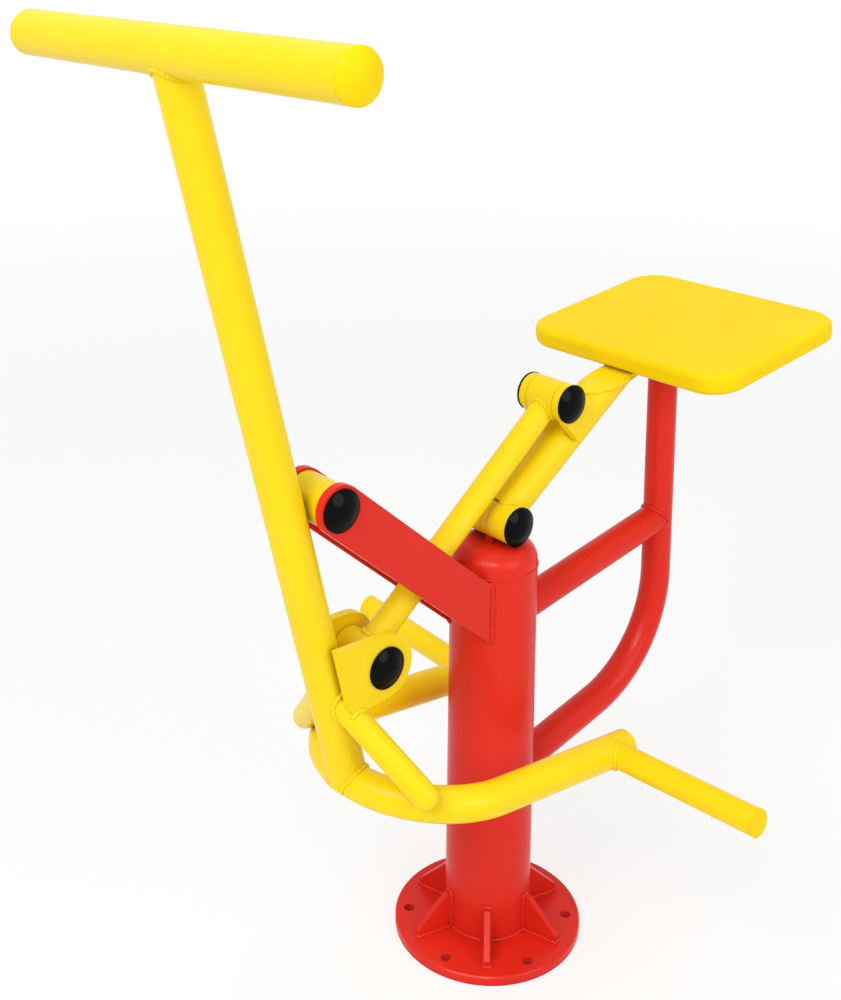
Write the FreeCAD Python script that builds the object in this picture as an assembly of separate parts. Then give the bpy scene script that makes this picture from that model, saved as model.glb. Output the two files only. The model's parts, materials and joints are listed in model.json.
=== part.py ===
import FreeCAD, Part
import math
import os

# Outdoor horse rider. A ground-bolted post carries a handle lever in front and a seat lever on top.
# A link joins the two levers, so pulling the handlebar raises the seat.
# Frame: origin at the centre of the flange underside, +X forward, +Y to the rider's left, +Z up.

# Ground flange
flange_diameter = 250.0
flange_thickness = 12.0
flange_chamfer = 2.0
bolt_circle = 212.0
bolt_hole = 14.0
bolt_count = 6
bolt_first_angle = 75.0
rib_length = 50.0
rib_height = 48.0
rib_toe = 8.0
rib_thickness = 8.0

# Post and its top
post_diameter = 114.3
post_wall = 4.5
post_height = 520.0
post_dome_height = 31.0
post_dome_corner = 25.0
saddle_length = 32.0
saddle_width = 10.0

# Pivot stations in the middle plane
# The front one lies along the stem, the upper one along the seat arm, the others from the post's top.
front_pivot_along = 558.5
seat_pivot_x = -5.0
seat_pivot_rise = 58.0
upper_pivot_along = 159.8
upper_pivot_offset = 63.4
lower_pivot_x = 220.5
lower_pivot_drop = 52.0

# Pivot hardware
hub_diameter = 50.0
hub_length = 46.0
lower_hub_length = 60.0
seat_hub_span = 75.0
front_hub_diameter = 54.0
front_hub_length = 58.0
bush_diameter = 32.0
pin_diameter = 20.0
running_clearance = 0.05
side_gap = 0.5
pin_engagement = 4.0
cap_diameter = 51.5
cap_rim = 2.5
cap_height = 11.0
cheek_thickness = 12.0
cheek_diameter = 50.0
hub_bite = 1.0

# Front arm: two parallel cheek plates
arm_height = 60.0
arm_thickness = 10.0
arm_root_x = 35.0
arm_slope = 40.6

# Rear stop tube, strut and buffer
stop_diameter = 42.4
stop_wall = 3.0
stop_x = -339.0
stop_bend_radius = 165.0
stop_root_z = 200.0
stop_root_slope = 12.0
strut_root_drop = 80.0
strut_slope = 9.5
buffer_diameter = 46.0
buffer_height = 16.0
buffer_spigot = 14.0

# Handle lever
bar_diameter = 54.0
bar_wall = 3.0
bar_length = 618.0
bar_x = 475.0
bar_rise = 691.0
bar_cap_height = 14.0
bar_cap_spigot = 18.0
stem_diameter = 48.3
stem_wall = 3.0
fork_diameter = 42.4
fork_wall = 3.0
fork_half_width = 132.0
fork_front_x = 246.0
fork_rear_x = -115.0
fork_drop = 234.5
fork_slope = 7.1
fork_cap_thickness = 4.0
brace_diameter = 32.0
brace_wall = 3.0
brace_stem_rise = 161.5
brace_tip_x = 222.0
brace_tip_y = 114.0
brace_tip_rise = 51.5
peg_diameter = 34.0
peg_wall = 3.0
peg_x = -91.0
peg_tip_y = 361.0
peg_rise = 3.5
peg_plug_rim = 4.0
peg_plug_spigot = 16.0
bracket_foot = 90.0
bracket_eye_diameter = 80.0

# Link
link_diameter = 34.0
link_wall = 4.0

# Seat lever
arm_tube_diameter = 50.8
arm_tube_wall = 3.0
arm_tube_slope = 34.0
arm_tube_start = 12.0
arm_slot_gap = 2.0
lug_foot = 34.0
lug_foot_offset = 5.5
seat_x = -375.0
seat_rise = 198.0
seat_tilt = 7.1
seat_width = 357.0
seat_depth = 293.0
seat_thickness = 29.0
seat_corner = 48.0
seat_edge = 9.0
mount_thickness = 6.0
mount_width = 150.0
seat_bolt_diameter = 8.0
seat_bolt_head = 18.0
seat_bolt_head_height = 5.0
seat_bolt_depth = 15.0
seat_bolt_inset = 22.0
seat_bolt_front = 48.5
seat_bolt_rear = 114.5

# Worked-out places
X_AXIS = FreeCAD.Vector(1, 0, 0)
Y_AXIS = FreeCAD.Vector(0, 1, 0)
Z_AXIS = FreeCAD.Vector(0, 0, 1)
SIDES = ((1, "left"), (-1, "right"))
post_radius = post_diameter / 2
stem_radius = stem_diameter / 2
pin_radius = pin_diameter / 2
seat_pivot = FreeCAD.Vector(seat_pivot_x, 0, post_height + seat_pivot_rise)
lower_pivot = FreeCAD.Vector(lower_pivot_x, 0, post_height - lower_pivot_drop)
cheek_inner = hub_length / 2 + side_gap
cheek_outer = cheek_inner + cheek_thickness
bracket_inner = lower_hub_length / 2 + side_gap
bracket_outer = bracket_inner + cheek_thickness
seat_outer = seat_hub_span / 2
arm_inner = front_hub_length / 2 + side_gap
arm_outer = arm_inner + arm_thickness
bar_centre = FreeCAD.Vector(bar_x, 0, post_height + bar_rise)
fork_z = post_height - fork_drop
fork_frame = FreeCAD.Placement(FreeCAD.Vector(0, 0, fork_z), FreeCAD.Rotation(Y_AXIS, -fork_slope))
fork_front = fork_frame.multVec(FreeCAD.Vector(fork_front_x, 0, 0))
stem_down = (fork_front - bar_centre).normalize()
front_offset = stem_radius + front_hub_diameter / 2 - hub_bite
front_pivot = bar_centre + stem_down * front_pivot_along + Y_AXIS.cross(stem_down) * front_offset
seat_top_z = seat_pivot.z + seat_rise
seat_frame = FreeCAD.Placement(FreeCAD.Vector(seat_x, 0, seat_top_z), FreeCAD.Rotation(Y_AXIS, seat_tilt))
mount_underside = -seat_thickness - mount_thickness
arm_tube_up = FreeCAD.Rotation(Y_AXIS, arm_tube_slope).multVec(-X_AXIS)
arm_tube_side = Y_AXIS.cross(arm_tube_up)
arm_tube_foot = seat_pivot + arm_tube_up * arm_tube_start
arm_tube_end = arm_tube_foot + arm_tube_up * (seat_depth - seat_x)
upper_pivot = seat_pivot + arm_tube_up * upper_pivot_along + arm_tube_side * upper_pivot_offset
large = 4 * post_height


def rod(start, end, diameter):
    """Round bar between two points."""
    along = end - start
    return Part.makeCylinder(diameter / 2, along.Length, start, along)


def round_ended(start, end, diameter):
    """Round bar with a ball end."""
    return rod(start, end, diameter).fuse(Part.makeSphere(diameter / 2, end))


def pipe(start, end, diameter, wall):
    """Round tube between two points."""
    return rod(start, end, diameter).cut(rod(start, end, diameter - 2 * wall))


def cross_rod(centre, diameter, half_length):
    """Round bar along Y, centred on a pivot axis."""
    reach = Y_AXIS * half_length
    return rod(centre - reach, centre + reach, diameter)


def swept(path, diameter):
    """Round bar bent along a path."""
    first = path.Edges[0]
    start = first.valueAt(first.FirstParameter)
    heading = first.tangentAt(first.FirstParameter)
    ring = Part.Wire(Part.makeCircle(diameter / 2, start, heading))
    return path.makePipeShell([ring], True, False)


def bent_pipe(path, diameter, wall):
    """Round tube bent along a path."""
    return swept(path, diameter).cut(swept(path, diameter - 2 * wall))


def plate(corners, inner, thickness, side):
    """Flat plate in an XZ plane, its near face at the given distance from the middle plane."""
    loop = [FreeCAD.Vector(c.x, side * inner, c.z) for c in corners]
    return Part.Face(Part.makePolygon(loop + loop[:1])).extrude(Y_AXIS * side * thickness)


def boss(centre, diameter, inner, thickness, side):
    """Disc in an XZ plane, at the given distance from the middle plane."""
    return Part.makeCylinder(diameter / 2, thickness, centre + Y_AXIS * side * inner, Y_AXIS * side)


def across(along):
    """Unit vector square to a direction in the middle plane."""
    return FreeCAD.Vector(-along.z, 0, along.x).normalize()


def strap(start, end, width, inner, thickness, side):
    """Plate with round ends around two points."""
    flank = across(end - start) * (width / 2)
    body = plate([start + flank, end + flank, end - flank, start - flank], inner, thickness, side)
    body = body.fuse(boss(start, width, inner, thickness, side))
    return body.fuse(boss(end, width, inner, thickness, side)).removeSplitter()


def gusset(pivot, foot_a, foot_b, eye, inner, side):
    """Plate from a round pivot eye to a straight foot on a tube."""
    middle = (foot_a + foot_b) / 2
    flank = across(middle - pivot) * (eye / 2)
    if flank * (foot_a - foot_b) < 0:
        flank = -flank
    corners = [pivot + flank, foot_a, foot_b, pivot - flank]
    body = plate(corners, inner, cheek_thickness, side)
    return body.fuse(boss(pivot, eye, inner, cheek_thickness, side)).removeSplitter()


def drilled(body, centre):
    """Body with a pin hole along Y."""
    return body.cut(cross_rod(centre, pin_diameter, large))


def hub(centre, diameter, length):
    """Short transverse tube of a pivot, bored for its bush."""
    return cross_rod(centre, diameter, length / 2).cut(cross_rod(centre, bush_diameter, length / 2))


def bush(centre, length):
    """Plain bearing pressed into a hub, running on the pin."""
    inner = pin_diameter + 2 * running_clearance
    return cross_rod(centre, bush_diameter, length / 2).cut(cross_rod(centre, inner, length / 2))


def dome(face, heading, diameter, rim, height):
    """Round cap with a low spherical crown on a short rim."""
    rise = height - rim
    radius = (diameter * diameter / 4 + rise * rise) / (2 * rise)
    half_arc = math.asin(diameter / 2 / radius) / 2
    foot = FreeCAD.Vector(diameter / 2, 0, 0)
    edge = FreeCAD.Vector(diameter / 2, 0, rim)
    crown = FreeCAD.Vector(0, 0, height)
    middle = FreeCAD.Vector(math.sin(half_arc), 0, math.cos(half_arc)) * radius + Z_AXIS * (height - radius)
    arc = Part.Arc(edge, middle, crown).toShape()
    sides = [Part.makeLine(FreeCAD.Vector(), foot), Part.makeLine(foot, edge), arc]
    outline = Part.Wire(sides + [Part.makeLine(crown, FreeCAD.Vector())])
    body = Part.Face(outline).revolve(FreeCAD.Vector(), Z_AXIS, 360)
    body.Placement = FreeCAD.Placement(face, FreeCAD.Rotation(Z_AXIS, heading))
    return body


def pivot_cap(centre, outer, side):
    """Domed cap pushed over a pin end."""
    heading = Y_AXIS * side
    face = centre + heading * outer
    socket = Part.makeCylinder(pin_radius, pin_engagement, face, heading)
    return dome(face, heading, cap_diameter, cap_rim, cap_height).cut(socket)


def spigot_cap(centre, outer, thickness, side):
    """Domed cap with its own spigot in the plate behind it."""
    heading = Y_AXIS * side
    face = centre + heading * outer
    spigot = Part.makeCylinder(pin_radius, thickness, face, -heading)
    return dome(face, heading, cap_diameter, cap_rim, cap_height).fuse(spigot).removeSplitter()


def pivot_pin(centre, outer):
    """Plain pin that ends inside the two caps."""
    return cross_rod(centre, pin_diameter, outer + pin_engagement)


def post_solid():
    """Outside of the post and its dome, for shaping what is welded to it."""
    return Part.makeCylinder(post_radius, post_height).fuse(post_dome())


def stop_path():
    """Centre line of the rear stop tube, from the post axis to its top."""
    slope = math.radians(stop_root_slope)
    bend_x = stop_x + stop_bend_radius * (1 - math.sin(slope))
    bend_z = stop_root_z - bend_x * math.tan(slope)
    bend_top = bend_z + stop_bend_radius * math.cos(slope)
    half = (slope + math.pi / 2) / 2
    centre = FreeCAD.Vector(stop_x + stop_bend_radius, 0, bend_top)
    spoke = FreeCAD.Vector(-math.sin(half), 0, -math.cos(half))
    root = FreeCAD.Vector(0, 0, stop_root_z)
    bend_start = FreeCAD.Vector(bend_x, 0, bend_z)
    bend_end = FreeCAD.Vector(stop_x, 0, bend_top)
    top = FreeCAD.Vector(stop_x, 0, stop_top_z())
    bend = Part.Arc(bend_start, centre + spoke * stop_bend_radius, bend_end).toShape()
    return Part.Wire([Part.makeLine(root, bend_start), bend, Part.makeLine(bend_end, top)])


def stop_top_z():
    """Height of the rear stop tube, one buffer below the seat mount."""
    tilt = math.radians(seat_tilt)
    surface = seat_top_z + mount_underside / math.cos(tilt) - (stop_x - seat_x) * math.tan(tilt)
    return surface - buffer_height


def above_mount():
    """Everything above the underside of the seat mount, with the seat down."""
    corner = FreeCAD.Vector(-large / 2, -large / 2, mount_underside)
    block = Part.makeBox(large, large, large, corner)
    block.Placement = seat_frame
    return block


def fork_path():
    """Centre line of the fork: two arms and a half-round front."""
    bend_x = fork_front_x - fork_half_width
    rear_left = FreeCAD.Vector(fork_rear_x, fork_half_width, 0)
    bend_left = FreeCAD.Vector(bend_x, fork_half_width, 0)
    front = FreeCAD.Vector(fork_front_x, 0, 0)
    bend_right = FreeCAD.Vector(bend_x, -fork_half_width, 0)
    rear_right = FreeCAD.Vector(fork_rear_x, -fork_half_width, 0)
    bend = Part.Arc(bend_left, front, bend_right).toShape()
    path = Part.Wire([Part.makeLine(rear_left, bend_left), bend, Part.makeLine(bend_right, rear_right)])
    path.Placement = fork_frame
    return path


def stem_point(height):
    """Point on the stem axis at a height."""
    return bar_centre + stem_down * ((height - bar_centre.z) / stem_down.z)


def base_flange():
    body = Part.makeCylinder(flange_diameter / 2, flange_thickness)
    rim = [e for e in body.Edges if e.BoundBox.ZMin > flange_thickness / 2]
    body = body.makeChamfer(flange_chamfer, rim)
    for number in range(bolt_count):
        angle = math.radians(bolt_first_angle + number * 360 / bolt_count)
        centre = FreeCAD.Vector(math.cos(angle), math.sin(angle), 0) * (bolt_circle / 2)
        body = body.cut(Part.makeCylinder(bolt_hole / 2, flange_thickness, centre))
    return body


def flange_rib(number):
    reach = post_radius + rib_length
    top = flange_thickness + rib_height
    outline = [
        FreeCAD.Vector(0, 0, flange_thickness),
        FreeCAD.Vector(reach, 0, flange_thickness),
        FreeCAD.Vector(reach, 0, flange_thickness + rib_toe),
        FreeCAD.Vector(post_radius + rib_toe, 0, top),
        FreeCAD.Vector(0, 0, top),
    ]
    body = plate(outline, -rib_thickness / 2, rib_thickness, 1)
    angle = bolt_first_angle + (number + 0.5) * 360 / bolt_count
    body.rotate(FreeCAD.Vector(), Z_AXIS, angle)
    return body.cut(post_solid())


def main_post():
    return pipe(Z_AXIS * flange_thickness, Z_AXIS * post_height, post_diameter, post_wall)


def post_dome():
    body = Part.makeCylinder(post_radius, post_dome_height, Z_AXIS * post_height)
    rim = [e for e in body.Edges if e.BoundBox.ZMin > post_height]
    return body.makeFillet(post_dome_corner, rim)


def hub_saddle():
    corner = FreeCAD.Vector(seat_pivot_x - saddle_length / 2, -saddle_width / 2, post_height)
    block = Part.makeBox(saddle_length, saddle_width, seat_pivot_rise, corner)
    return block.cut(cross_rod(seat_pivot, hub_diameter, large)).cut(post_dome())


def arm_cheek(side):
    slope = math.radians(arm_slope)
    run = front_pivot.x - arm_root_x
    root = FreeCAD.Vector(arm_root_x, 0, front_pivot.z - run * math.tan(slope))
    body = strap(front_pivot, root, arm_height, arm_inner, arm_thickness, side)
    return drilled(body.cut(post_solid()), front_pivot)


def rear_stop_tube():
    return bent_pipe(stop_path(), stop_diameter, stop_wall).cut(post_solid())


def rear_strut():
    slope = math.tan(math.radians(strut_slope))
    root = FreeCAD.Vector(0, 0, post_height - strut_root_drop - post_radius * slope)
    head = FreeCAD.Vector(stop_x, 0, root.z - stop_x * slope)
    body = pipe(root, head, stop_diameter, stop_wall)
    return body.cut(post_solid()).cut(swept(stop_path(), stop_diameter))


def stop_buffer():
    seat = FreeCAD.Vector(stop_x, 0, stop_top_z())
    head = Part.makeCylinder(buffer_diameter / 2, 2 * buffer_height, seat).cut(above_mount())
    spigot = Part.makeCylinder(stop_diameter / 2 - stop_wall, buffer_spigot, seat, -Z_AXIS)
    return head.fuse(spigot).removeSplitter()


def handlebar_tube():
    half = Y_AXIS * (bar_length / 2 - bar_cap_height)
    return pipe(bar_centre - half, bar_centre + half, bar_diameter, bar_wall)


def handlebar_cap(side):
    heading = Y_AXIS * side
    face = bar_centre + heading * (bar_length / 2 - bar_cap_height)
    spigot = Part.makeCylinder(bar_diameter / 2 - bar_wall, bar_cap_spigot, face, -heading)
    return dome(face, heading, bar_diameter, cap_rim, bar_cap_height).fuse(spigot).removeSplitter()


def bracket_feet():
    """Ends of the link bracket's foot on the stem axis."""
    middle = stem_point(lower_pivot.z)
    reach = stem_down * bracket_foot / 2
    return middle - reach, middle + reach


def link_cheek(side):
    upper, lower = bracket_feet()
    return drilled(gusset(lower_pivot, upper, lower, bracket_eye_diameter, bracket_inner, side), lower_pivot)


def stem_tube():
    body = pipe(bar_centre, fork_front, stem_diameter, stem_wall)
    body = body.cut(cross_rod(bar_centre, bar_diameter, bar_length / 2))
    body = body.cut(swept(fork_path(), fork_diameter))
    body = body.cut(cross_rod(front_pivot, front_hub_diameter, front_hub_length / 2))
    for side, _ in SIDES:
        body = body.cut(link_cheek(side))
    return max(body.Solids, key=lambda solid: solid.Volume)


def fork_tube():
    return bent_pipe(fork_path(), fork_diameter, fork_wall)


def fork_end_cap(side):
    inset = FreeCAD.Vector(fork_rear_x, side * fork_half_width, 0)
    outer = inset - X_AXIS * fork_cap_thickness
    return rod(fork_frame.multVec(outer), fork_frame.multVec(inset), fork_diameter)


def fork_brace(side):
    root = stem_point(fork_z + brace_stem_rise)
    tip = FreeCAD.Vector(brace_tip_x, side * brace_tip_y, fork_z + brace_tip_rise)
    body = round_ended(root, tip, brace_diameter)
    body = body.cut(round_ended(root, tip, brace_diameter - 2 * brace_wall))
    body = body.cut(rod(bar_centre, fork_front, stem_diameter)).cut(swept(fork_path(), fork_diameter))
    body = body.cut(link_cheek(side))
    return max(body.Solids, key=lambda solid: solid.Volume)


def peg_ends(side):
    """Axis of a foot peg, from the fork arm to the face of its plug."""
    root = fork_frame.multVec(FreeCAD.Vector(peg_x, side * fork_half_width, 0))
    reach = peg_tip_y - peg_plug_rim - fork_half_width
    rise = reach * math.tan(math.radians(peg_rise))
    return root, root + FreeCAD.Vector(0, side * reach, rise)


def foot_peg(side):
    root, tip = peg_ends(side)
    return pipe(root, tip, peg_diameter, peg_wall).cut(swept(fork_path(), fork_diameter))


def peg_plug(side):
    root, tip = peg_ends(side)
    outward = (tip - root).normalize()
    head = rod(tip, tip + outward * peg_plug_rim, peg_diameter)
    return head.fuse(rod(tip - outward * peg_plug_spigot, tip, peg_diameter - 2 * peg_wall)).removeSplitter()


def link_tube():
    body = pipe(upper_pivot, lower_pivot, link_diameter, link_wall)
    body = body.cut(cross_rod(upper_pivot, hub_diameter, hub_length / 2))
    return body.cut(cross_rod(lower_pivot, hub_diameter, lower_hub_length / 2))


def lug_feet():
    """Ends of the link lug's foot on the side of the seat arm tube."""
    middle = seat_pivot + arm_tube_up * upper_pivot_along + arm_tube_side * lug_foot_offset
    reach = arm_tube_up * lug_foot / 2
    return middle - reach, middle + reach


def link_lug(side):
    lower, upper = lug_feet()
    return drilled(gusset(upper_pivot, upper, lower, cheek_diameter, cheek_inner, side), upper_pivot)


def seat_eye(side):
    """Half of the seat lever's hub, beside the fixed hub."""
    inner = saddle_width / 2 + side_gap
    return drilled(boss(seat_pivot, hub_diameter, inner, seat_outer - inner, side), seat_pivot)


def seat_arm_tube():
    body = pipe(arm_tube_foot, arm_tube_end, arm_tube_diameter, arm_tube_wall).cut(above_mount())
    body = body.cut(cross_rod(seat_pivot, hub_diameter, seat_outer))
    body = body.cut(cross_rod(seat_pivot, hub_diameter + 2 * arm_slot_gap, saddle_width / 2 + arm_slot_gap))
    for side, _ in SIDES:
        body = body.cut(link_lug(side))
    return max(body.Solids, key=lambda solid: solid.Volume)


def bolt_places():
    """Seat bolt centres on the mount plate."""
    front = seat_depth / 2 - seat_bolt_front
    rear = seat_bolt_rear - seat_depth / 2
    sideways = mount_width / 2 - seat_bolt_inset
    return [(x, j * sideways) for x in (front, rear) for j in (1, -1)]


def seat_bolt(place):
    head_face = FreeCAD.Vector(place[0], place[1], mount_underside)
    head = Part.makeCylinder(seat_bolt_head / 2, seat_bolt_head_height, head_face, -Z_AXIS)
    shank = Part.makeCylinder(seat_bolt_diameter / 2, mount_thickness + seat_bolt_depth, head_face)
    return head.fuse(shank).removeSplitter()


def in_seat_frame(body):
    body.Placement = seat_frame.multiply(body.Placement)
    return body


def mount_slab(front, rear, width):
    """Part of the mount plate between two places along the seat."""
    corner = FreeCAD.Vector(rear, -width / 2, mount_underside)
    return Part.makeBox(front - rear, width, mount_thickness, corner)


def mount_tongue():
    """Front end of the mount plate, closing the seat arm tube."""
    slab = in_seat_frame(mount_slab(large / 2, -large / 2, large))
    end = slab.common(rod(arm_tube_foot, arm_tube_end, arm_tube_diameter))
    tube_x = seat_frame.inverse().multVec(end.Solids[0].CenterOfMass).x
    return end.fuse(in_seat_frame(mount_slab(tube_x, bolt_places()[-1][0], arm_tube_diameter)))


def seat_mount():
    places = bolt_places()
    body = mount_slab(places[0][0] + seat_bolt_inset, places[-1][0] - seat_bolt_inset, mount_width)
    for place in places:
        body = body.cut(seat_bolt(place))
    return in_seat_frame(body).fuse(mount_tongue()).removeSplitter()


def seat_pad():
    corner = FreeCAD.Vector(-seat_depth / 2, -seat_width / 2, -seat_thickness)
    body = Part.makeBox(seat_depth, seat_width, seat_thickness, corner)
    upright = [e for e in body.Edges if e.BoundBox.ZLength > seat_thickness / 2]
    body = body.makeFillet(seat_corner, upright)
    rims = [e for e in body.Edges if e.BoundBox.ZLength < seat_thickness / 2]
    body = body.makeFillet(seat_edge, rims)
    for place in bolt_places():
        body = body.cut(seat_bolt(place))
    return in_seat_frame(body)


def fixed_pieces():
    pieces = {
        "base_flange": base_flange(),
        "main_post": main_post(),
        "post_dome": post_dome(),
        "hub_saddle": hub_saddle(),
        "seat_hub": hub(seat_pivot, hub_diameter, saddle_width),
        "seat_bush": bush(seat_pivot, saddle_width),
        "rear_stop_tube": rear_stop_tube(),
        "rear_strut": rear_strut(),
        "stop_buffer": stop_buffer(),
        "front_pin": pivot_pin(front_pivot, arm_outer),
    }
    for number in range(bolt_count):
        pieces["flange_rib_%d" % (number + 1)] = flange_rib(number)
    for side, hand in SIDES:
        pieces["arm_cheek_" + hand] = arm_cheek(side)
        pieces["front_cap_" + hand] = pivot_cap(front_pivot, arm_outer, side)
    return pieces


def lever_pieces():
    pieces = {
        "handlebar_tube": handlebar_tube(),
        "stem_tube": stem_tube(),
        "lever_hub": hub(front_pivot, front_hub_diameter, front_hub_length),
        "lever_bush": bush(front_pivot, front_hub_length),
        "fork_tube": fork_tube(),
    }
    for side, hand in SIDES:
        pieces["handlebar_cap_" + hand] = handlebar_cap(side)
        pieces["link_cheek_" + hand] = link_cheek(side)
        pieces["lower_cap_" + hand] = spigot_cap(lower_pivot, bracket_outer, cheek_thickness, side)
        pieces["fork_brace_" + hand] = fork_brace(side)
        pieces["fork_end_cap_" + hand] = fork_end_cap(side)
        pieces["foot_peg_" + hand] = foot_peg(side)
        pieces["peg_plug_" + hand] = peg_plug(side)
    return pieces


def link_pieces():
    return {
        "link_tube": link_tube(),
        "link_upper_hub": hub(upper_pivot, hub_diameter, hub_length),
        "link_upper_bush": bush(upper_pivot, hub_length),
        "link_lower_hub": hub(lower_pivot, hub_diameter, lower_hub_length),
    }


def seat_pieces():
    pieces = {
        "seat_arm_tube": seat_arm_tube(),
        "seat_pin": pivot_pin(seat_pivot, seat_outer),
        "upper_pin": pivot_pin(upper_pivot, cheek_outer),
        "seat_mount": seat_mount(),
        "seat_pad": seat_pad(),
    }
    for side, hand in SIDES:
        pieces["seat_eye_" + hand] = seat_eye(side)
        pieces["link_lug_" + hand] = link_lug(side)
        pieces["seat_cap_" + hand] = pivot_cap(seat_pivot, seat_outer, side)
        pieces["upper_cap_" + hand] = pivot_cap(upper_pivot, cheek_outer, side)
    for number, place in enumerate(bolt_places()):
        pieces["seat_bolt_%d" % (number + 1)] = in_seat_frame(seat_bolt(place))
    return pieces


os.makedirs("parts", exist_ok=True)
for group in (fixed_pieces(), lever_pieces(), link_pieces(), seat_pieces()):
    for name, shape in group.items():
        shape.exportStep("parts/%s.step" % name)
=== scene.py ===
import json
import math

import bmesh
import bpy
from mathutils import Matrix, Vector
from mathutils.bvhtree import BVHTree


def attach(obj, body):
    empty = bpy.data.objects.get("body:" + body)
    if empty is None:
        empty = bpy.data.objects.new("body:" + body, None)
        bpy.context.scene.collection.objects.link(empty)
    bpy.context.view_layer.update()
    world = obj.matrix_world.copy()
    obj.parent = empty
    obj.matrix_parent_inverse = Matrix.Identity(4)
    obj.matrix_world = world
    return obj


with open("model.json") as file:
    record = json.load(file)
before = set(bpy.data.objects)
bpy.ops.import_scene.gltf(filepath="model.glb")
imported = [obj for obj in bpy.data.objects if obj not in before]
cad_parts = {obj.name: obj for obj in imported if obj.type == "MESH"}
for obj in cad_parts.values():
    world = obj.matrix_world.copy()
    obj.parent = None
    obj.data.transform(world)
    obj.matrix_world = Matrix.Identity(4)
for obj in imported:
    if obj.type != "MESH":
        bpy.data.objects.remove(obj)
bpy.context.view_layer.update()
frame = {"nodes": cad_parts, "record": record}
nodes = frame["nodes"]
body_of_node = {n: body for body, members in frame["record"]["behaviour"]["bodies"].items() for n in members}
slot_of_node = {row["node"]: row["material_slot"] for row in frame["record"]["subparts"]}

# Paint, plastic and metal colours, linear
RED = (0.71, 0.024, 0.012)
RED_DEEP = (0.56, 0.013, 0.008)
RED_WORN = (0.82, 0.10, 0.07)
YELLOW = (0.89, 0.65, 0.006)
YELLOW_DEEP = (0.83, 0.55, 0.004)
YELLOW_WORN = (0.97, 0.80, 0.10)
SEAT = (0.89, 0.63, 0.005)
SEAT_DEEP = (0.83, 0.54, 0.004)
SEAT_WORN = (0.97, 0.79, 0.10)
BLACK = (0.002, 0.002, 0.0022)
BLACK_DEEP = (0.001, 0.001, 0.001)
BLACK_WORN = (0.02, 0.02, 0.02)
RUBBER = (0.022, 0.022, 0.021)
RUBBER_DUST = (0.085, 0.080, 0.072)
ZINC = (0.64, 0.64, 0.65)
ZINC_DARK = (0.42, 0.42, 0.43)
BRONZE = (0.62, 0.42, 0.17)
BRONZE_DARK = (0.36, 0.22, 0.08)

# Patterns of the finishes: where a noise or mask starts to show and where it is full
BLOTCH_RANGE = (0.35, 0.70)
# Painted shade in corners: the occlusion value where it starts and where it is full
CORNER_SHADE_RANGE = (0.75, 0.25)
RUB_RANGE = (0.40, 0.70)
SMEAR_RANGE = (0.30, 0.72)
EDGE_LEAN = (0.995, 0.80)
BLOTCH_DETAIL = 4.0
RUB_SCALE = 60.0
RUB_DETAIL = 3.0
SMEAR_DETAIL = 5.0
SMEAR_ROUGHNESS = 0.6
PEEL_DETAIL = 2.0
# How dark the painted shade in corners gets, as a share of the deep colour
CORNER_SHADE_DARKNESS = 0.45
CORNER_SAMPLES = 4
EDGE_SAMPLES = 6

# Looks: edge, corner and peel depth in metres, scales per metre, the rest as shares; the corner darkening
# share is painted shade
POWDER = dict(blotch_scale=5.0, blotch=0.30, corner=0.012, corner_shade=0.55, edge=0.0012, wear=0.35,
              smear_scale=16.0, gloss=(0.24, 0.40), peel=0.22, peel_depth=0.0004, peel_scale=330.0,
              coat=0.03, coat_gloss=0.12, shine=0.14, metal=0.0)
MOULDED = dict(POWDER, blotch_scale=9.0, edge=0.0015, wear=0.25, gloss=(0.30, 0.46),
               peel=0.30, peel_depth=0.0003, peel_scale=700.0, coat=0.0, shine=0.04)
GLOSSY_CAP = dict(POWDER, blotch=0.5, corner_shade=0.3, edge=0.0008, wear=0.5, gloss=(0.08, 0.18),
                  peel=0.08, peel_depth=0.0002, peel_scale=240.0, smear_scale=55.0, coat=0.04,
                  coat_gloss=0.04, shine=0.05)
DUSTY_RUBBER = dict(POWDER, blotch_scale=40.0, blotch=0.6, wear=0.6, gloss=(0.62, 0.82), peel=0.4,
                    peel_scale=900.0, coat=0.0)
DULL_METAL = dict(POWDER, blotch_scale=70.0, blotch=0.7, corner_shade=0.4, edge=0.0005, wear=0.3,
                  gloss=(0.28, 0.46), smear_scale=120.0, peel=0.12, peel_depth=0.0002, peel_scale=900.0,
                  coat=0.0, shine=0.5, metal=1.0)

# Weld beads and the seams they follow, lengths in metres
BEAD_RADIUS = 0.0032
SMALL_BEAD_RADIUS = 0.0014
BEAD_RIPPLE = 0.0052
FEWEST_RIPPLES = 2
POINTS_PER_RIPPLE = 4
BEAD_SWELL = 0.14
BEAD_END = 0.45
BEAD_END_GROWTH = 0.2
BEAD_SIDES = 8
SEAM_REACH = 0.0008
SHORTEST_SEAM = 0.008
MERGE_DISTANCE = 0.00002
SHARP_EDGE = math.radians(25)
SHALLOW_EDGE = math.radians(12)

# Camera at the photograph's viewing angle
IMAGE_WIDTH = 841.0
IMAGE_HEIGHT = 1000.0
SENSOR = 36.0
FOCAL_PX = 1424.23
CENTRE_X = 422.35
CENTRE_Y = 161.37
CAMERA_PLACE = Vector((1.24502, 1.22824, 1.34143))
CAMERA_REACH = 200.0
YAW = math.radians(227.8466)
PITCH = math.radians(9.5547)
ROLL = math.radians(0.5865)

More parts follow.
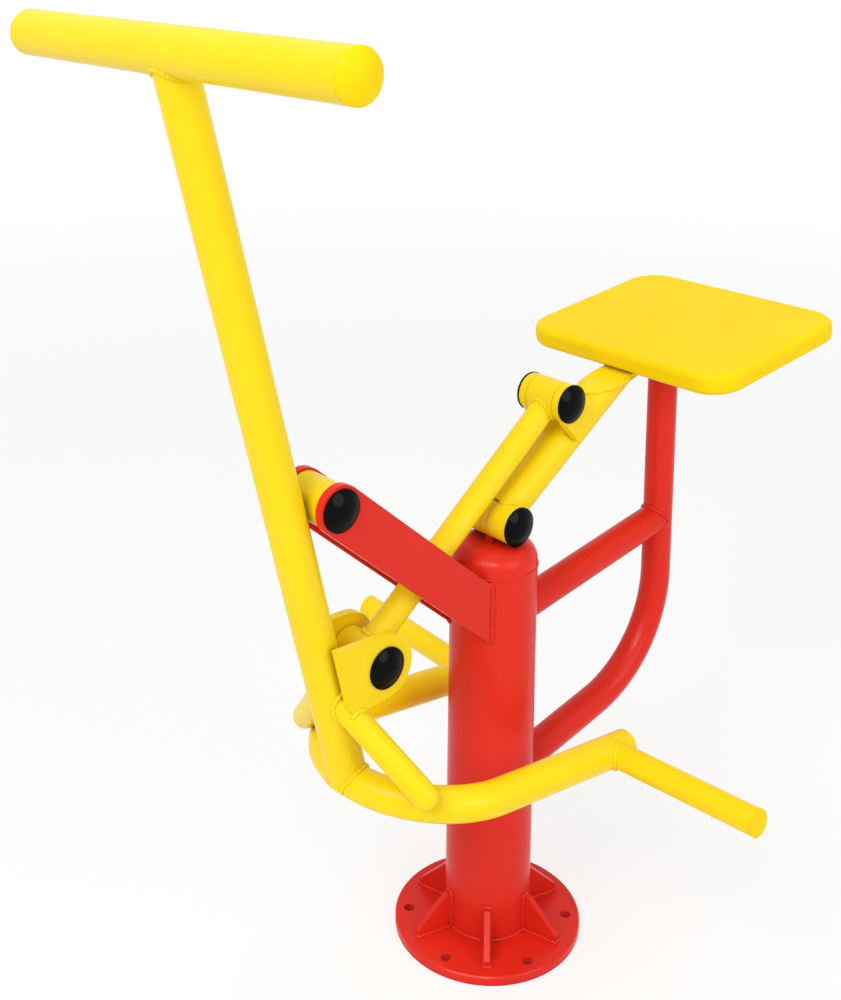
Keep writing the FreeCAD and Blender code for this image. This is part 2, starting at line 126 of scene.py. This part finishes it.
# Studio: a white room whose floor fades to white away from the part
WHITE = (1.0, 1.0, 1.0, 1.0)
WORLD_LEVEL = 0.55
FLOOR_COLOUR = (0.90, 0.90, 0.89, 1.0)
FLOOR_ROUGHNESS = 0.9
FLOOR_GLOSS = 0.1
FLOOR_SHINE = 0.72
FLOOR_NEAR = 1.6
FLOOR_FAR = 5.0
FLOOR_HALF = 60.0
FLOOR_DROP = 0.0005
LAMP_TARGET = Vector((0.0, 0.0, 0.6))

# Places of the colour sockets on a mix node
MIX_FIRST = 6
MIX_SECOND = 7
MIX_RESULT = 2


def add_node(tree, kind, **sockets):
    """A shader node with its plain input values."""
    made = tree.nodes.new(kind)
    for name, value in sockets.items():
        made.inputs[name.replace("_", " ")].default_value = value
    return made


def combine(tree, operation, first, second):
    """Two values put together by a math node."""
    made = tree.nodes.new("ShaderNodeMath")
    made.operation = operation
    tree.links.new(first, made.inputs[0])
    tree.links.new(second, made.inputs[1])
    return made.outputs[0]


def ramp(tree, source, low, high, to_low, to_high):
    """A value brought from one range to another, clamped."""
    made = add_node(tree, "ShaderNodeMapRange", From_Min=low, From_Max=high, To_Min=to_low, To_Max=to_high)
    tree.links.new(source, made.inputs["Value"])
    return made.outputs["Result"]


def noise(tree, where, scale, detail, roughness=0.5):
    """Cloudy noise from 0 to 1."""
    made = add_node(tree, "ShaderNodeTexNoise", Scale=scale, Detail=detail, Roughness=roughness)
    tree.links.new(where, made.inputs["Vector"])
    return made.outputs["Fac"]


def mix(tree, factor, first, second):
    """Colour mix; each colour is a socket or three numbers."""
    made = tree.nodes.new("ShaderNodeMix")
    made.data_type = "RGBA"
    tree.links.new(factor, made.inputs["Factor"])
    for socket, colour in ((made.inputs[MIX_FIRST], first), (made.inputs[MIX_SECOND], second)):
        if isinstance(colour, tuple):
            socket.default_value = (*colour, 1.0)
        else:
            tree.links.new(colour, socket)
    return made.outputs[MIX_RESULT]


def edge_mask(tree, radius):
    """Rounded normal, and how far it leans from the true one: 1 at edges."""
    bevel = add_node(tree, "ShaderNodeBevel", Radius=radius)
    bevel.samples = EDGE_SAMPLES
    plain = tree.nodes.new("ShaderNodeNewGeometry")
    lean = tree.nodes.new("ShaderNodeVectorMath")
    lean.operation = "DOT_PRODUCT"
    tree.links.new(bevel.outputs["Normal"], lean.inputs[0])
    tree.links.new(plain.outputs["Normal"], lean.inputs[1])
    return bevel.outputs["Normal"], ramp(tree, lean.outputs["Value"], *EDGE_LEAN, 0.0, 1.0)


def blotched(tree, where, base, deep, look):
    """Base colour with soft darker blotches."""
    spots = noise(tree, where, look["blotch_scale"], BLOTCH_DETAIL)
    return mix(tree, ramp(tree, spots, *BLOTCH_RANGE, 0.0, look["blotch"]), base, deep)


def shaded_corners(tree, colour, deep, look):
    """The colour darkened in its corners by ambient occlusion: painted shade."""
    corner = add_node(tree, "ShaderNodeAmbientOcclusion", Distance=look["corner"])
    corner.samples = CORNER_SAMPLES
    corner_shade = ramp(tree, corner.outputs["AO"], *CORNER_SHADE_RANGE, 0.0, look["corner_shade"])
    return mix(tree, corner_shade, colour, tuple(CORNER_SHADE_DARKNESS * c for c in deep))


def rubbed(tree, where, colour, worn, edge, look):
    """The colour rubbed pale in patches along the edges."""
    patches = noise(tree, where, RUB_SCALE, RUB_DETAIL)
    wear = ramp(tree, patches, *RUB_RANGE, 0.0, look["wear"])
    return mix(tree, combine(tree, "MULTIPLY", edge, wear), colour, worn)


def uneven_gloss(tree, where, look):
    """Roughness that varies in smears."""
    smear = noise(tree, where, look["smear_scale"], SMEAR_DETAIL, SMEAR_ROUGHNESS)
    return ramp(tree, smear, *SMEAR_RANGE, *look["gloss"])


def orange_peel(tree, where, rounded, look):
    """Fine bumps on the rounded normal."""
    bump = add_node(tree, "ShaderNodeBump", Strength=look["peel"], Distance=look["peel_depth"])
    tree.links.new(noise(tree, where, look["peel_scale"], PEEL_DETAIL), bump.inputs["Height"])
    tree.links.new(rounded, bump.inputs["Normal"])
    return bump.outputs["Normal"]


def finish_material(name, base, deep, worn, look):
    """A finish with blotches, painted shade in corners, rubbed edges, uneven gloss and orange peel."""
    made = bpy.data.materials.new(name)
    made.use_nodes = True
    tree = made.node_tree
    shader = tree.nodes["Principled BSDF"]
    where = tree.nodes.new("ShaderNodeTexCoord").outputs["Object"]
    rounded, edge = edge_mask(tree, look["edge"])
    colour = blotched(tree, where, base, deep, look)
    # Painted shade: the colour darkened where ambient occlusion finds a corner
    colour = shaded_corners(tree, colour, deep, look)
    colour = rubbed(tree, where, colour, worn, edge, look)
    tree.links.new(colour, shader.inputs["Base Color"])
    tree.links.new(uneven_gloss(tree, where, look), shader.inputs["Roughness"])
    tree.links.new(orange_peel(tree, where, rounded, look), shader.inputs["Normal"])
    shader.inputs["Metallic"].default_value = look["metal"]
    shader.inputs["Coat Weight"].default_value = look["coat"]
    shader.inputs["Coat Roughness"].default_value = look["coat_gloss"]
    shader.inputs["Specular IOR Level"].default_value = look["shine"]
    return made


materials = {
    "red_paint": finish_material("red_powder_coat", RED, RED_DEEP, RED_WORN, POWDER),
    "yellow_paint": finish_material("yellow_powder_coat", YELLOW, YELLOW_DEEP, YELLOW_WORN, POWDER),
    "seat_yellow": finish_material("seat_moulding", SEAT, SEAT_DEEP, SEAT_WORN, MOULDED),
    "cap_yellow": finish_material("bar_end_moulding", YELLOW, YELLOW_DEEP, YELLOW_WORN, MOULDED),
    "black_plastic": finish_material("black_cap", BLACK, BLACK_DEEP, BLACK_WORN, GLOSSY_CAP),
    "rubber": finish_material("buffer_rubber", RUBBER, RUBBER_DUST, RUBBER_DUST, DUSTY_RUBBER),
    "steel": finish_material("zinc_steel", ZINC, ZINC_DARK, ZINC, DULL_METAL),
    "bronze": finish_material("bush_bronze", BRONZE, BRONZE_DARK, BRONZE, DULL_METAL),
}
for name, node in nodes.items():
    node.data.materials.clear()
    node.data.materials.append(materials[slot_of_node[name]])


def whole_mesh(name):
    """A node's mesh with the split vertices along its edges joined again."""
    made = bmesh.new()
    made.from_mesh(nodes[name].data)
    bmesh.ops.remove_doubles(made, verts=made.verts, dist=MERGE_DISTANCE)
    return made


def chains(edges):
    """Edges put in order as runs of points, each with whether it closes on itself."""
    links = {}
    for edge in edges:
        for vert in edge.verts:
            links.setdefault(vert, []).append(edge)
    left = set(edges)
    runs = []
    while left:
        ends = [v for v in links if len([e for e in links[v] if e in left]) == 1]
        start = min(ends or [v for e in left for v in e.verts], key=lambda v: v.index)
        run = [start]
        while onward := [e for e in links[run[-1]] if e in left]:
            left.discard(onward[0])
            run.append(onward[0].other_vert(run[-1]))
        closed = run[0] is run[-1]
        runs.append(([v.co.copy() for v in (run[:-1] if closed else run)], closed))
    return runs


def length_of(run, closed):
    """Length of a run, with the stretch back to its start if it is closed."""
    pairs = zip(run, run[1:] + run[:1] if closed else run[1:])
    return sum((b - a).length for a, b in pairs)


def seam(node, mate, sharp=SHARP_EDGE):
    """The longest run of a node's sharp edges that lies on its mate, if there is one."""
    own = whole_mesh(node)
    other = whole_mesh(mate)
    tree = BVHTree.FromBMesh(other)
    near = {v for v in own.verts if tree.find_nearest(v.co, SEAM_REACH)[0] is not None}
    edges = [e for e in own.edges if e.verts[0] in near and e.verts[1] in near
             and len(e.link_faces) == 2 and e.calc_face_angle() > sharp]
    runs = [run for run in chains(edges) if length_of(*run) > SHORTEST_SEAM]
    own.free()
    other.free()
    return max(runs, key=lambda run: length_of(*run)) if runs else None


def even_points(run, closed):
    """The run's points spaced evenly, a whole number of ripples apart."""
    total = length_of(run, closed)
    ripples = max(FEWEST_RIPPLES, round(total / BEAD_RIPPLE))
    count = ripples * POINTS_PER_RIPPLE
    corners = run + run[:1] if closed else run
    points = []
    passed = 0.0
    part = 0
    for number in range(count if closed else count + 1):
        goal = total * number / count
        while part < len(corners) - 2 and passed + (corners[part + 1] - corners[part]).length < goal:
            passed += (corners[part + 1] - corners[part]).length
            part += 1
        stretch = (corners[part + 1] - corners[part]).length
        points.append(corners[part].lerp(corners[part + 1], (goal - passed) / stretch if stretch else 0.0))
    return points


def swell_at(number, count, closed):
    """The bead's thickness at a point: rippled, and growing from the ends of an open run."""
    swell = 1.0 + BEAD_SWELL * math.cos(2 * math.pi * number / POINTS_PER_RIPPLE)
    if closed:
        return swell
    return swell * min(1.0, BEAD_END + BEAD_END_GROWTH * min(number, count - 1 - number))


def bead_ring(made, point, along, radius):
    """One round of the bead across its run."""
    side = along.orthogonal().normalized()
    lift = along.cross(side)
    angles = [2 * math.pi * k / BEAD_SIDES for k in range(BEAD_SIDES)]
    return [made.verts.new(point + (side * math.cos(a) + lift * math.sin(a)) * radius) for a in angles]


def join_rings(made, first, second):
    """Faces between two rounds, with the second turned to match the first."""
    turn = min(range(BEAD_SIDES), key=lambda t: sum(
        (first[k].co - second[(k + t) % BEAD_SIDES].co).length for k in range(BEAD_SIDES)))
    for k in range(BEAD_SIDES):
        made.faces.new((first[k], first[(k + 1) % BEAD_SIDES],
                        second[(k + 1 + turn) % BEAD_SIDES], second[(k + turn) % BEAD_SIDES]))


def bead_shape(points, closed, radius):
    """A rippled bead through the points, with flat ends where the run is open."""
    count = len(points)
    made = bmesh.new()
    rings = []
    for number, point in enumerate(points):
        before = points[number - 1] if closed or number else point
        after = points[(number + 1) % count] if closed or number < count - 1 else point
        along = (after - before).normalized()
        rings.append(bead_ring(made, point, along, radius * swell_at(number, count, closed)))
    for number in range(count if closed else count - 1):
        join_rings(made, rings[number], rings[(number + 1) % count])
    if not closed:
        made.faces.new(rings[0])
        made.faces.new(rings[-1])
    bmesh.ops.recalc_face_normals(made, faces=made.faces)
    return made


def weld_bead(node, mate, radius=BEAD_RADIUS, sharp=SHARP_EDGE):
    """A bead along the seam between two welded nodes, in the first one's finish."""
    found = seam(node, mate, sharp)
    if found is None:
        print("no seam", node, mate)
        return
    run, closed = found
    made = bead_shape(even_points(run, closed), closed, radius)
    mesh = bpy.data.meshes.new("weld_%s_%s" % (node, mate))
    made.to_mesh(mesh)
    made.free()
    mesh.polygons.foreach_set("use_smooth", [True] * len(mesh.polygons))
    piece = bpy.data.objects.new(mesh.name, mesh)
    bpy.context.scene.collection.objects.link(piece)
    mesh.materials.append(materials[slot_of_node[node]])
    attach(piece, body_of_node[node])


for rib in sorted(name for name in nodes if name.startswith("flange_rib_")):
    weld_bead(rib, "base_flange")
    weld_bead(rib, "main_post")
weld_bead("main_post", "base_flange")
weld_bead("hub_saddle", "post_dome", radius=SMALL_BEAD_RADIUS)
weld_bead("main_post", "post_dome", radius=SMALL_BEAD_RADIUS)
weld_bead("rear_stop_tube", "main_post")
weld_bead("rear_strut", "main_post")
weld_bead("rear_strut", "rear_stop_tube")
weld_bead("stem_tube", "handlebar_tube")
weld_bead("stem_tube", "fork_tube")
weld_bead("stem_tube", "lever_hub", sharp=SHALLOW_EDGE)
weld_bead("link_tube", "link_upper_hub")
weld_bead("link_tube", "link_lower_hub")
weld_bead("seat_arm_tube", "seat_mount")
for hand in ("left", "right"):
    weld_bead("arm_cheek_" + hand, "main_post")
    weld_bead("fork_brace_" + hand, "link_cheek_" + hand)
    weld_bead("fork_brace_" + hand, "stem_tube")
    weld_bead("fork_brace_" + hand, "fork_tube", sharp=SHALLOW_EDGE)
    weld_bead("foot_peg_" + hand, "fork_tube")
    weld_bead("link_lug_" + hand, "seat_arm_tube")
    weld_bead("seat_arm_tube", "seat_eye_" + hand)


def add_camera():
    """A camera with the photograph's place, direction and off-centre framing."""
    ahead = Vector((math.cos(YAW) * math.cos(PITCH), math.sin(YAW) * math.cos(PITCH), -math.sin(PITCH)))
    level = Vector((math.sin(YAW), -math.cos(YAW), 0.0))
    above = level.cross(ahead)
    right = level * math.cos(ROLL) + above * math.sin(ROLL)
    up = above * math.cos(ROLL) - level * math.sin(ROLL)
    lens = bpy.data.cameras.new("camera")
    lens.sensor_width = SENSOR
    lens.lens = FOCAL_PX / IMAGE_HEIGHT * SENSOR
    lens.shift_x = (IMAGE_WIDTH / 2 - CENTRE_X) / IMAGE_HEIGHT
    lens.shift_y = (CENTRE_Y - IMAGE_HEIGHT / 2) / IMAGE_HEIGHT
    lens.clip_end = CAMERA_REACH
    camera = bpy.data.objects.new("camera", lens)
    turn = Matrix((right, up, -ahead)).transposed().to_4x4()
    camera.matrix_world = Matrix.Translation(CAMERA_PLACE) @ turn
    bpy.context.scene.collection.objects.link(camera)
    bpy.context.scene.camera = camera


def add_lamp(name, place, width, power, lights_paint=True):
    """A round soft lamp; one that doesn't light paint only shows as a glint in glossy faces."""
    lamp = bpy.data.lights.new(name, "AREA")
    lamp.shape = "DISK"
    lamp.size = width
    lamp.energy = power
    holder = bpy.data.objects.new(name, lamp)
    holder.visible_diffuse = lights_paint
    heading = LAMP_TARGET - Vector(place)
    holder.matrix_world = Matrix.Translation(place) @ heading.to_track_quat("-Z", "Y").to_matrix().to_4x4()
    bpy.context.scene.collection.objects.link(holder)


def seen_straight(tree):
    """1 for rays from the camera, off gloss or through glass."""
    path = tree.nodes.new("ShaderNodeLightPath").outputs
    seen = combine(tree, "MAXIMUM", path["Is Camera Ray"], path["Is Glossy Ray"])
    return combine(tree, "MAXIMUM", seen, path["Is Transmission Ray"])


def add_world():
    """White all round, at full strength where it is seen and weaker as light."""
    world = bpy.data.worlds.new("studio")
    world.use_nodes = True
    tree = world.node_tree
    sky = tree.nodes["Background"]
    sky.inputs["Color"].default_value = WHITE
    strength = ramp(tree, seen_straight(tree), 0.0, 1.0, WORLD_LEVEL, 1.0)
    tree.links.new(strength, sky.inputs["Strength"])
    bpy.context.scene.world = world


def floor_material():
    """A pale floor that takes shadows near the part and is plain white far from it."""
    made = bpy.data.materials.new("studio_floor")
    made.use_nodes = True
    tree = made.node_tree
    shader = tree.nodes["Principled BSDF"]
    shader.inputs["Base Color"].default_value = FLOOR_COLOUR
    shader.inputs["Roughness"].default_value = FLOOR_ROUGHNESS
    shader.inputs["Specular IOR Level"].default_value = FLOOR_GLOSS
    shine = tree.nodes.new("ShaderNodeEmission")
    blend = tree.nodes.new("ShaderNodeMixShader")
    away = tree.nodes.new("ShaderNodeVectorMath")
    away.operation = "LENGTH"
    tree.links.new(tree.nodes.new("ShaderNodeTexCoord").outputs["Object"], away.inputs[0])
    level = ramp(tree, away.outputs["Value"], FLOOR_NEAR, FLOOR_FAR, FLOOR_SHINE, 1.0)
    tree.links.new(combine(tree, "MULTIPLY", seen_straight(tree), level), blend.inputs["Fac"])
    tree.links.new(shader.outputs["BSDF"], blend.inputs[1])
    tree.links.new(shine.outputs["Emission"], blend.inputs[2])
    tree.links.new(blend.outputs["Shader"], tree.nodes["Material Output"].inputs["Surface"])
    return made


def add_floor():
    """A wide floor just under the part."""
    mesh = bpy.data.meshes.new("studio_floor")
    square = ((-1, -1), (1, -1), (1, 1), (-1, 1))
    corners = [(x * FLOOR_HALF, y * FLOOR_HALF, -FLOOR_DROP) for x, y in square]
    mesh.from_pydata(corners, [], [(0, 1, 2, 3)])
    mesh.materials.append(floor_material())
    floor = bpy.data.objects.new("studio_floor", mesh)
    bpy.context.scene.collection.objects.link(floor)


add_camera()
add_world()
add_floor()
add_lamp("key", place=(3.0, 0.6, 3.2), width=2.2, power=86.0)
add_lamp("fill", place=(-0.4, 3.4, 2.0), width=2.4, power=43.0)
add_lamp("top", place=(-0.6, -0.4, 4.0), width=2.5, power=28.0)
add_lamp("glint", place=(2.2, 2.2, 3.0), width=0.6, power=60.0, lights_paint=False)
bpy.context.scene.view_settings.view_transform = "Standard"
